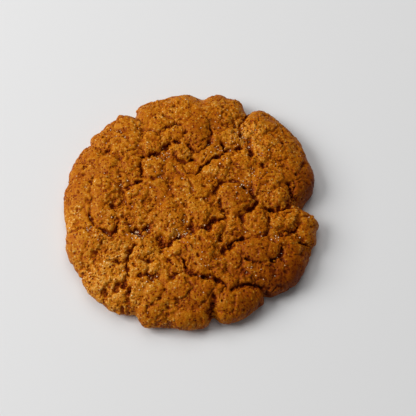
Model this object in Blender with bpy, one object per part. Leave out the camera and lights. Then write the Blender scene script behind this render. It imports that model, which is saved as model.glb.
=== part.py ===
# A round drop biscuit: one low dome of crumb whose crust has split into plates.
# Metres, +Z up, standing on z = 0 with the middle of its box over the origin.

import bpy
import bmesh
import numpy as np

MM = 0.001

# Body
RADIUS = 42.7 * MM
CROWN_HEIGHT = 11.2 * MM
WIDEST_HEIGHT = 3.4 * MM
FOOT_ROUNDING = 2.4 * MM
FOOT_POWER = 0.9
DOME_PLAN_POWER = 3.6
DOME_RISE_POWER = 2.2
SECTION_STEPS = 400

# Slow wave of the outline: order, size in mm, bearing of a peak in degrees
OUTLINE_WAVE = (2, 0.9, 40.0)

# Swellings (+) and notches (-) of the outline:
# bearing in degrees, size in mm, clockwise and anticlockwise half width in degrees
RIM = {
    "bite": (358.0, -6.6, 4.4, 9.5),
    "north_east_flat": (24.0, -0.9, 9.0, 8.0),
    "north_east_cleft": (62.0, -3.4, 2.4, 2.6),
    "north_dip": (72.5, -1.1, 3.0, 3.0),
    "north_scoop": (85.0, -2.6, 3.6, 3.6),
    "north_flat": (104.0, -0.5, 4.0, 3.0),
    "north_west_step": (119.5, -2.6, 2.8, 3.2),
    "north_west_nick": (145.0, -1.2, 1.4, 1.4),
    "west_dip": (169.0, -0.7, 4.0, 4.0),
    "west_flat": (191.0, -0.9, 7.0, 5.0),
    "south_west_dent": (214.0, -1.3, 2.6, 2.6),
    "south_west_ledge": (245.0, -2.4, 4.0, 2.8),
    "south_notch": (281.0, -1.7, 2.8, 2.8),
    "south_east_notch": (306.0, -1.0, 3.6, 2.6),
    "east_nick": (343.0, -0.7, 2.4, 2.4),
    "east_swell": (327.0, 1.4, 13.0, 13.0),
    "north_swell": (73.0, 0.8, 8.0, 7.0),
    "north_west_swell": (112.0, 0.7, 5.0, 3.5),
    "west_swell": (160.0, 1.1, 17.0, 20.0),
    "south_west_swell": (223.0, 1.9, 16.0, 15.0),
    "south_corner": (250.0, 0.9, 4.0, 8.0),
    "south_swell": (291.0, 0.7, 6.0, 6.0),
}

# A notch keeps this share of its depth at the foot. It is whole above the second height and,
# towards the middle, gone at the first share of the radius.
NOTCH_LEFT_AT_FOOT = 0.8
NOTCH_HEIGHTS = (1.0 * MM, 4.5 * MM)
NOTCH_SHARES = (0.72, 0.98)

# Plates of crust that stand proud: x, y, radius, rise, all in mm
PLATES = {
    "north_east": (31.0, 18.0, 12.0, 0.5),
    "north": (1.5, 29.0, 12.0, 0.4),
    "north_west": (-24.0, 20.0, 10.0, 0.5),
    "west": (-29.0, 4.5, 7.0, 0.5),
    "west_lobe": (-37.5, -17.0, 7.0, 0.6),
    "middle": (0.0, 2.0, 12.0, 0.5),
    "core": (15.0, -1.0, 6.0, 0.6),
    "east": (29.0, 4.0, 6.0, 0.4),
    "south_east": (24.0, -26.0, 9.0, 0.5),
    "south": (1.5, -36.0, 7.0, 0.5),
    "south_west": (-14.0, -34.0, 8.0, 0.5),
}

# Cracks, each an arc in plan: start x and y in mm, first heading in degrees, length in mm,
# turn in degrees, half width and depth in mm
CRACKS = {
    "cleft_mouth": (21.0, 37.0, 240.0, 12.0, 0.0, 0.8, 2.2),
    "cleft_valley": (15.5, 27.5, 300.0, 11.0, -15.0, 1.3, 1.6),
    "shelf": (9.5, 19.5, 305.0, 8.0, 100.0, 0.6, 2.4),
    "hook": (-1.0, 19.0, 270.0, 6.5, 145.0, 0.5, 1.8),
    "hook_stem": (4.0, 17.5, 65.0, 8.5, 20.0, 0.5, 1.5),
    "north_slant": (10.5, 16.5, 220.0, 9.0, -10.0, 0.6, 2.0),
    "north_slant_end": (3.0, 11.5, 255.0, 4.0, -15.0, 0.45, 1.5),
    "brow": (-4.0, 20.5, 170.0, 7.5, 80.0, 0.6, 1.7),
    "brow_end": (-10.0, 17.0, 210.0, 7.0, -25.0, 0.6, 1.9),
    "eye": (-5.0, 14.0, 300.0, 6.0, 115.0, 0.6, 2.1),
    "eye_corner": (-9.0, 14.0, 45.0, 3.0, -60.0, 0.45, 1.2),
    "wing_left": (-17.0, 25.0, 10.0, 6.0, -65.0, 0.5, 1.2),
    "wing_right": (-11.5, 23.0, 60.0, 11.0, -40.0, 0.45, 1.1),
    "west_drop": (-16.5, 14.5, 265.0, 8.5, 0.0, 0.45, 1.4),
    "west_hook": (-17.0, 6.0, 190.0, 7.0, 45.0, 0.75, 2.0),
    "west_hook_end": (-23.0, 2.5, 290.0, 3.0, -15.0, 0.45, 1.3),
    "west_slit": (-23.0, -1.5, 235.0, 4.0, -45.0, 0.5, 1.8),
    "far_west": (-33.0, 8.0, 260.0, 12.0, 10.0, 0.45, 1.0),
    "far_west_bend": (-34.0, -4.0, 280.0, 6.0, 20.0, 0.6, 1.5),
    "west_basin": (-29.5, -11.0, 300.0, 7.0, 130.0, 0.7, 1.7),
    "bowl_left": (-20.5, -10.5, 270.0, 5.0, 100.0, 0.7, 1.9),
    "bowl_right": (-16.5, -13.5, 70.0, 5.0, -55.0, 0.9, 2.0),
    "south_west_top": (-18.0, -17.0, 220.0, 6.0, 45.0, 0.7, 1.8),
    "south_west_run": (-20.5, -22.5, 270.0, 9.0, -15.0, 0.7, 1.6),
    "south_west_foot": (-20.0, -32.0, 270.0, 9.0, -10.0, 0.6, 1.6),
    "south_west_slit": (-17.0, -21.0, 305.0, 5.5, 70.0, 0.45, 1.4),
    "low_slit": (-17.0, -27.0, 0.0, 7.0, -20.0, 0.6, 1.8),
    "trough_head": (-10.5, -14.5, 340.0, 4.5, -100.0, 1.0, 2.4),
    "trough": (-8.5, -17.5, 40.0, 6.5, -15.0, 0.75, 1.9),
    "trough_run": (-3.5, -14.5, 15.0, 6.5, 25.0, 1.05, 2.0),
    "trough_spur": (0.5, -12.5, 130.0, 4.5, -85.0, 0.6, 1.8),
    "core_west": (5.0, -11.5, 70.0, 6.5, -65.0, 0.7, 2.0),
    "core_side": (9.0, -1.5, 270.0, 6.5, 35.0, 0.45, 1.3),
    "core_drop": (11.0, -8.0, 270.0, 7.5, -20.0, 0.5, 1.5),
    "core_top": (7.5, 1.0, 95.0, 7.0, -95.0, 0.5, 1.2),
    "core_brow": (12.0, 5.5, 15.0, 6.0, -60.0, 0.45, 1.2),
    "core_east": (17.5, 4.0, 330.0, 7.0, -50.0, 0.6, 2.0),
    "core_south_east": (21.5, -1.5, 235.0, 8.0, -10.0, 0.6, 1.8),
    "drain": (16.0, -14.5, 190.0, 5.5, 65.0, 0.75, 2.2),
    "drain_end": (12.5, -18.0, 155.0, 4.0, 140.0, 0.7, 1.8),
    "drain_east": (16.0, -14.5, 355.0, 8.5, 30.0, 0.5, 1.3),
    "east_split": (24.5, -13.0, 55.0, 6.0, 55.0, 0.45, 1.3),
    "east_basin": (28.5, -13.0, 355.0, 9.0, 75.0, 0.75, 1.9),
    "east_arc": (32.5, 5.0, 305.0, 6.5, -70.0, 0.7, 2.2),
    "east_arc_foot": (32.5, -1.5, 245.0, 8.5, -85.0, 0.75, 2.6),
    "east_slit": (41.0, -16.0, 190.0, 6.0, -30.0, 0.45, 1.4),
    "shoulder": (29.5, -18.0, 275.0, 6.5, -95.0, 0.6, 1.6),
    "shoulder_run": (24.5, -22.5, 205.0, 7.5, -65.0, 0.45, 1.3),
    "south_shelf": (13.5, -32.0, 30.0, 7.5, -40.0, 0.6, 1.8),
    "south_shelf_end": (21.0, -30.5, 20.0, 4.5, -50.0, 0.45, 1.2),
    "south_main_head": (-3.0, -21.5, 270.0, 5.0, 35.0, 0.6, 2.2),
    "south_main": (-2.0, -26.0, 340.0, 7.5, 5.0, 0.6, 2.2),
    "south_main_bend": (5.0, -28.0, 10.0, 7.5, -85.0, 0.6, 2.0),
    "south_main_spur": (-2.0, -25.5, 185.0, 4.5, 65.0, 0.6, 1.4),
    "south_cleft": (7.5, -34.0, 240.0, 10.0, 60.0, 0.8, 1.8),
    "west_rim": (-41.0, -11.0, 350.0, 8.5, 40.0, 0.45, 0.7),
    "south_west_rim": (-35.0, -27.0, 90.0, 6.0, -70.0, 0.45, 0.9),
    "north_west_rim": (-36.0, 21.5, 330.0, 7.5, 0.0, 0.45, 1.0),
}
CRACK_STEPS = 10
CRACK_WALL_POWER = 3.0
CRACK_REACH = 9.0 * MM
LIP_SLOPE_WIDTH = 2.6 * MM
LIP_SLOPE_SHARE = 0.2

# Holes in the crust: x, y, radius, depth in mm
PITS = {
    "north_west": (-29.0, 17.5, 0.9, 1.8),
    "north_west_low": (-24.0, 14.0, 0.8, 1.3),
    "west": (-24.0, 8.0, 0.8, 1.4),
    "cleft_end": (20.0, 16.0, 1.1, 2.4),
    "north_east": (23.5, 11.0, 0.9, 1.6),
    "east": (37.5, 13.5, 0.8, 1.4),
    "east_foot": (29.0, -4.0, 1.1, 1.2),
    "south": (7.5, -34.5, 1.0, 1.8),
    "south_middle": (-7.5, -22.5, 0.9, 1.5),
    "south_west": (-23.0, -30.5, 1.0, 1.7),
    "south_west_low": (-26.5, -31.0, 0.9, 1.0),
    "south_west_high": (-23.5, -22.5, 0.8, 1.2),
    "low_slit": (-16.0, -27.0, 0.9, 1.4),
    "far_south_west": (-34.0, -25.0, 0.8, 1.2),
    "far_west": (-32.5, -8.0, 0.7, 1.2),
    "south_east": (17.0, -26.0, 0.8, 1.2),
}

# Uneven surface of the bake: wavelength and height in mm
SWELL_NOISE = (11.0, 0.35)
LUMP_NOISE = (4.2, 0.35)
CRUMB_NOISE = (1.9, 0.22)
CRACK_WANDER = (2.8, 0.8)

# Cracks widen and narrow along their way: wavelength in mm, share of the width
CRACK_UNEVEN = (3.1, 0.3)

# Small plates of the crust: size, depth of the creases between them, uneven height, in mm
CRAGS = {
    "large": (7.5, 0.55, 0.35),
    "small": (3.4, 0.35, 0.18),
}
CRAG_WANDER = (3.6, 1.1)
CREASE_WIDTH = 0.22
CELL_SCATTER = 0.42

# The relief fades in between these heights, and is calmer where the wall is upright.
RELIEF_HEIGHTS = (0.6 * MM, 3.0 * MM)
WALL_CALM = 0.4

MESH_SUBDIVISIONS = 7
TRIANGLES = 11600

CRUST_COLOUR = (0.271, 0.084, 0.0095, 1.0)
CRUST_ROUGHNESS = 0.72


def clear_objects():
    for old in list(bpy.data.objects):
        bpy.data.objects.remove(old, do_unlink=True)


def smooth(value, low, high):
    t = np.clip((value - low) / (high - low), 0.0, 1.0)
    return t * t * (3.0 - 2.0 * t)


# Whole numbers in, an even spread of numbers from -1 to 1 out.
def hashed(ix, iy, iz, seed):
    n = (ix * 374761393 + iy * 668265263 + iz * 1274126177 + seed * 974634777) & 0xFFFFFFFF
    n = ((n ^ (n >> 13)) * 1103515245) & 0xFFFFFFFF
    n = ((n ^ (n >> 15)) * 2246822519) & 0xFFFFFFFF
    return ((n ^ (n >> 16)) & 0xFFFF) / 32767.5 - 1.0


# Smoothly joined random values on a lattice of the given wavelength.
def noise(points, wavelength, seed):
    scaled = points / wavelength
    cell = np.floor(scaled)
    t = scaled - cell
    t = t * t * t * (t * (t * 6.0 - 15.0) + 10.0)
    cell = cell.astype(np.int64)
    total = np.zeros(len(points))
    for dx in (0, 1):
        for dy in (0, 1):
            for dz in (0, 1):
                weight = np.where(dx, t[:, 0], 1.0 - t[:, 0])
                weight = weight * np.where(dy, t[:, 1], 1.0 - t[:, 1])
                weight = weight * np.where(dz, t[:, 2], 1.0 - t[:, 2])
                total += weight * hashed(cell[:, 0] + dx, cell[:, 1] + dy, cell[:, 2] + dz, seed)
    return total


# Cells around scattered points: how far each place is from the border of its cell, as a share
# of the cell size, and one value from -1 to 1 for the whole cell.
def cells(points, size, seed):
    scaled = points / size
    home = np.floor(scaled).astype(np.int64)
    nearest = np.full(len(points), 9.0)
    second = np.full(len(points), 9.0)
    value = np.zeros(len(points))
    for step in np.ndindex(3, 3, 3):
        cell = home + np.array(step) - 1
        offset = [hashed(cell[:, 0], cell[:, 1], cell[:, 2], seed + axis) for axis in range(3)]
        centre = cell + 0.5 + CELL_SCATTER * np.stack(offset, axis=1)
        away = np.linalg.norm(scaled - centre, axis=1)
        closer = away < nearest
        second = np.where(closer, nearest, np.minimum(second, away))
        own = hashed(cell[:, 0], cell[:, 1], cell[:, 2], seed + 3)
        value = np.where(closer, own, value)
        nearest = np.where(closer, away, nearest)
    return second - nearest, value


# Radius of the outline at each bearing, and the part of it that notches take away.
def outline(bearing):
    order, size, peak = OUTLINE_WAVE
    radius = RADIUS + size * MM * np.cos(order * (bearing - np.radians(peak)))
    cut = np.zeros_like(bearing)
    for centre, size, before, after in RIM.values():
        off = np.degrees(bearing) - centre
        off = (off + 180.0) % 360.0 - 180.0
        width = np.where(off < 0.0, before, after)
        bump = size * MM * np.exp(-((off / width) ** 2))
        if size < 0.0:
            cut += bump
        else:
            radius += bump
    return radius, cut


# Radius, as a share of the outline, and height along a section from crown to underside.
def section():
    over = np.linspace(0.0, 0.5 * np.pi, SECTION_STEPS)
    dome_share = np.sin(over) ** (2.0 / DOME_PLAN_POWER)
    rise = CROWN_HEIGHT - WIDEST_HEIGHT
    dome_height = WIDEST_HEIGHT + rise * np.cos(over) ** (2.0 / DOME_RISE_POWER)
    under = np.linspace(0.0, 0.5 * np.pi, SECTION_STEPS)[1:]
    foot = FOOT_ROUNDING / RADIUS
    foot_share = 1.0 - foot + foot * np.cos(under) ** FOOT_POWER
    foot_height = WIDEST_HEIGHT * (1.0 - np.sin(under) ** FOOT_POWER)
    flat_share = np.linspace(1.0 - foot, 0.0, SECTION_STEPS)[1:]
    share = np.concatenate([dome_share, foot_share, flat_share])
    height = np.concatenate([dome_height, foot_height, np.zeros_like(flat_share)])
    return share, height


# Spread the points of a sphere over the section so that each covers a like area. Gives each
# point's share and height, and how far its face looks outward and upward.
def spread(sphere):
    share, height = section()
    run = np.hypot(np.diff(share) * RADIUS, np.diff(height))
    area = run * 0.5 * (share[1:] + share[:-1])
    covered = np.concatenate([[0.0], np.cumsum(area)])
    wanted = 0.5 * (1.0 - sphere[:, 2]) * covered[-1]
    outward = np.gradient(share * RADIUS)
    upward = np.gradient(height)
    length = np.hypot(outward, upward)
    along = (share, height, -upward / length, outward / length)
    return [np.interp(wanted, covered, values) for values in along]


# Points along an arc given by its start, first heading, length and whole turn.
def arc(x, y, heading, length, turn):
    step = (np.arange(CRACK_STEPS) + 0.5) / CRACK_STEPS
    angle = np.radians(heading + turn * step)
    xs = x + np.concatenate([[0.0], np.cumsum(np.cos(angle))]) * length / CRACK_STEPS
    ys = y + np.concatenate([[0.0], np.cumsum(np.sin(angle))]) * length / CRACK_STEPS
    return np.stack([xs, ys], axis=1) * MM


# Shortest distance in plan from each point to a path.
def distance(plan, path):
    best = np.full(len(plan), 1.0)
    for start, end in zip(path[:-1], path[1:]):
        leg = end - start
        along = np.clip(((plan - start) @ leg) / (leg @ leg), 0.0, 1.0)
        away = plan - start - along[:, None] * leg
        best = np.minimum(best, np.hypot(away[:, 0], away[:, 1]))
    return best


# Depth of the cracks and pits under the crust, and of the slopes down to them.
def splits(plan, points):
    wavelength, size = CRACK_WANDER
    shift_x = noise(points, wavelength * MM, 11) * size * MM
    shift_y = noise(points, wavelength * MM, 12) * size * MM
    plan = plan + np.stack([shift_x, shift_y], axis=1)
    wavelength, size = CRACK_UNEVEN
    uneven = 1.0 + size * noise(points, wavelength * MM, 13)
    cut = np.zeros(len(plan))
    slope = np.zeros(len(plan))
    for x, y, heading, length, turn, width, depth in CRACKS.values():
        reach = length * MM + CRACK_REACH
        near = np.nonzero(np.hypot(plan[:, 0] - x * MM, plan[:, 1] - y * MM) < reach)[0]
        away = distance(plan[near], arc(x, y, heading, length, turn))
        wall = depth * MM / (1.0 + (away / (width * MM * uneven[near])) ** CRACK_WALL_POWER)
        lip = depth * MM * LIP_SLOPE_SHARE * np.exp(-((away / LIP_SLOPE_WIDTH) ** 2))
        cut[near] = np.maximum(cut[near], wall)
        slope[near] = np.maximum(slope[near], lip)
    for x, y, radius, depth in PITS.values():
        away = np.hypot(plan[:, 0] - x * MM, plan[:, 1] - y * MM)
        cut = np.maximum(cut, depth * MM * np.exp(-((away / (radius * MM)) ** 2)))
    return cut + slope


def relief(plan, points):
    lift = np.zeros(len(plan))
    for x, y, radius, rise in PLATES.values():
        away = np.hypot(plan[:, 0] - x * MM, plan[:, 1] - y * MM)
        lift += rise * MM * np.exp(-((away / (radius * MM)) ** 2))
    for seed, (wavelength, size) in enumerate((SWELL_NOISE, LUMP_NOISE, CRUMB_NOISE)):
        lift += size * MM * noise(points, wavelength * MM, seed)
    wavelength, size = CRAG_WANDER
    shift = [noise(points, wavelength * MM, seed) * size * MM for seed in (21, 22, 23)]
    moved = points + np.stack(shift, axis=1)
    for seed, (size, crease, uneven) in enumerate(CRAGS.values()):
        border, value = cells(moved, size * MM, 31 + 10 * seed)
        lift += uneven * MM * value * smooth(border, 0.0, CREASE_WIDTH)
        lift -= crease * MM * (1.0 - smooth(border, 0.0, CREASE_WIDTH))
    return lift - splits(plan, points)


def shape(sphere):
    bearing = np.arctan2(sphere[:, 1], sphere[:, 0]) % (2.0 * np.pi)
    share, height, face_out, face_up = spread(sphere)
    radius, cut = outline(bearing)
    deep = NOTCH_LEFT_AT_FOOT + (1.0 - NOTCH_LEFT_AT_FOOT) * smooth(height, *NOTCH_HEIGHTS)
    local = radius + cut * deep * smooth(share, *NOTCH_SHARES)
    around = np.stack([np.cos(bearing), np.sin(bearing)], axis=1)
    plan = around * (share * local)[:, None]
    points = np.column_stack([plan, height])
    amount = relief(plan, points) * smooth(height, *RELIEF_HEIGHTS)
    amount *= 1.0 - WALL_CALM * np.abs(face_out)
    points[:, :2] += around * (amount * face_out)[:, None]
    points[:, 2] += amount * face_up
    points[:, 2] = np.maximum(points[:, 2], 0.0)
    return points


def make_mesh():
    mesh = bpy.data.meshes.new("cookie")
    shell = bmesh.new()
    bmesh.ops.create_icosphere(shell, subdivisions=MESH_SUBDIVISIONS, radius=1.0)
    shell.to_mesh(mesh)
    shell.free()
    flat = np.empty(len(mesh.vertices) * 3)
    mesh.vertices.foreach_get("co", flat)
    sphere = flat.reshape(-1, 3)
    sphere /= np.linalg.norm(sphere, axis=1)[:, None]
    points = shape(sphere)
    middle = 0.5 * (points.min(axis=0) + points.max(axis=0))
    points[:, :2] -= middle[:2]
    mesh.vertices.foreach_set("co", points.ravel())
    mesh.shade_smooth()
    mesh.update()
    return mesh


def make_material():
    crust = bpy.data.materials.new("crust")
    crust.use_nodes = True
    surface = crust.node_tree.nodes["Principled BSDF"]
    surface.inputs["Base Color"].default_value = CRUST_COLOUR
    surface.inputs["Roughness"].default_value = CRUST_ROUGHNESS
    surface.inputs["Metallic"].default_value = 0.0
    return crust


def main():
    clear_objects()
    collection = bpy.data.collections.new("pumpkin_snickerdoodle")
    bpy.context.scene.collection.children.link(collection)
    mesh = make_mesh()
    mesh.materials.append(make_material())
    cookie = bpy.data.objects.new("cookie", mesh)
    collection.objects.link(cookie)
    thin = cookie.modifiers.new("thin_out", "DECIMATE")
    thin.ratio = TRIANGLES / len(mesh.polygons)


main()
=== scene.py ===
# A spiced pumpkin biscuit lying on a pale table: one cracked, craggy dome of crumb with sugar
# grains and loose crumbs on it. Sizes in the dictionaries are millimetres and degrees.
import math
import bpy
import numpy as np
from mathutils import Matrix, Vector


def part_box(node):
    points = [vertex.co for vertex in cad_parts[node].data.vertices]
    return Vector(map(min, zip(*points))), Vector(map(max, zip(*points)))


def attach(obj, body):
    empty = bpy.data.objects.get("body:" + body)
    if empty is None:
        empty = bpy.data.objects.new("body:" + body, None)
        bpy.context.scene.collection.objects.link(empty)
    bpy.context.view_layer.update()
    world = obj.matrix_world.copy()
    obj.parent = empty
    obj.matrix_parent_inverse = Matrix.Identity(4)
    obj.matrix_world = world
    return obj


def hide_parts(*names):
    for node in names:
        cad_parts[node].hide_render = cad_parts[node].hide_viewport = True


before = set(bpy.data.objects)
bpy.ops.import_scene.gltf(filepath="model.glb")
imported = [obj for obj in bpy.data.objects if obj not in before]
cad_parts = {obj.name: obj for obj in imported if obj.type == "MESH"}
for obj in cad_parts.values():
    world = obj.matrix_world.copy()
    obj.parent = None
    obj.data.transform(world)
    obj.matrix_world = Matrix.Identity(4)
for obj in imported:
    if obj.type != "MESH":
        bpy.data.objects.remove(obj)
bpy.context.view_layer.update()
mm = 0.001
print("frame loaded")


# Rises smoothly from 0 at low to 1 at high.
def ease(value, low, high):
    t = np.clip((value - low) / (high - low), 0.0, 1.0)
    return t * t * (3.0 - 2.0 * t)


# Whole numbers in, scrambled bits out, spread evenly from -1 to 1.
def scramble(ix, iy, iz, seed):
    n = (ix * 374761393 + iy * 668265263 + iz * 1274126177 + seed * 974634777) & 0xFFFFFFFF
    n = ((n ^ (n >> 13)) * 1103515245) & 0xFFFFFFFF
    n = ((n ^ (n >> 15)) * 2246822519) & 0xFFFFFFFF
    return ((n ^ (n >> 16)) & 0xFFFF) / 32767.5 - 1.0


# Random values at the corners of a lattice, blended with a quintic curve between them.
def noise(points, wavelength, seed):
    scaled = points / wavelength
    cell = np.floor(scaled)
    t = scaled - cell
    t = t * t * t * (t * (t * 6.0 - 15.0) + 10.0)
    cell = cell.astype(np.int64)
    total = np.zeros(len(points))
    for corner in np.ndindex(2, 2, 2):
        weight = np.prod(np.where(corner, t, 1.0 - t), axis=1)
        at = cell + np.array(corner)
        total += weight * scramble(at[:, 0], at[:, 1], at[:, 2], seed)
    return total


# Cells around scattered centres: distance to the nearest centre, that distance taken from the
# distance to the second nearest (0 on a border), and one random value for each cell.
def cells(points, size, seed):
    scaled = points / size
    home = np.floor(scaled).astype(np.int64)
    nearest = np.full(len(points), 9.0)
    second = np.full(len(points), 9.0)
    value = np.zeros(len(points))
    for step in np.ndindex(3, 3, 3):
        cell = home + np.array(step) - 1
        shift = [scramble(cell[:, 0], cell[:, 1], cell[:, 2], seed + axis) for axis in range(3)]
        centre = cell + 0.5 + 0.42 * np.stack(shift, axis=1)
        away = np.linalg.norm(scaled - centre, axis=1)
        closer = away < nearest
        second = np.where(closer, nearest, np.minimum(second, away))
        value = np.where(closer, scramble(cell[:, 0], cell[:, 1], cell[:, 2], seed + 3), value)
        nearest = np.where(closer, away, nearest)
    return nearest, second - nearest, value


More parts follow.
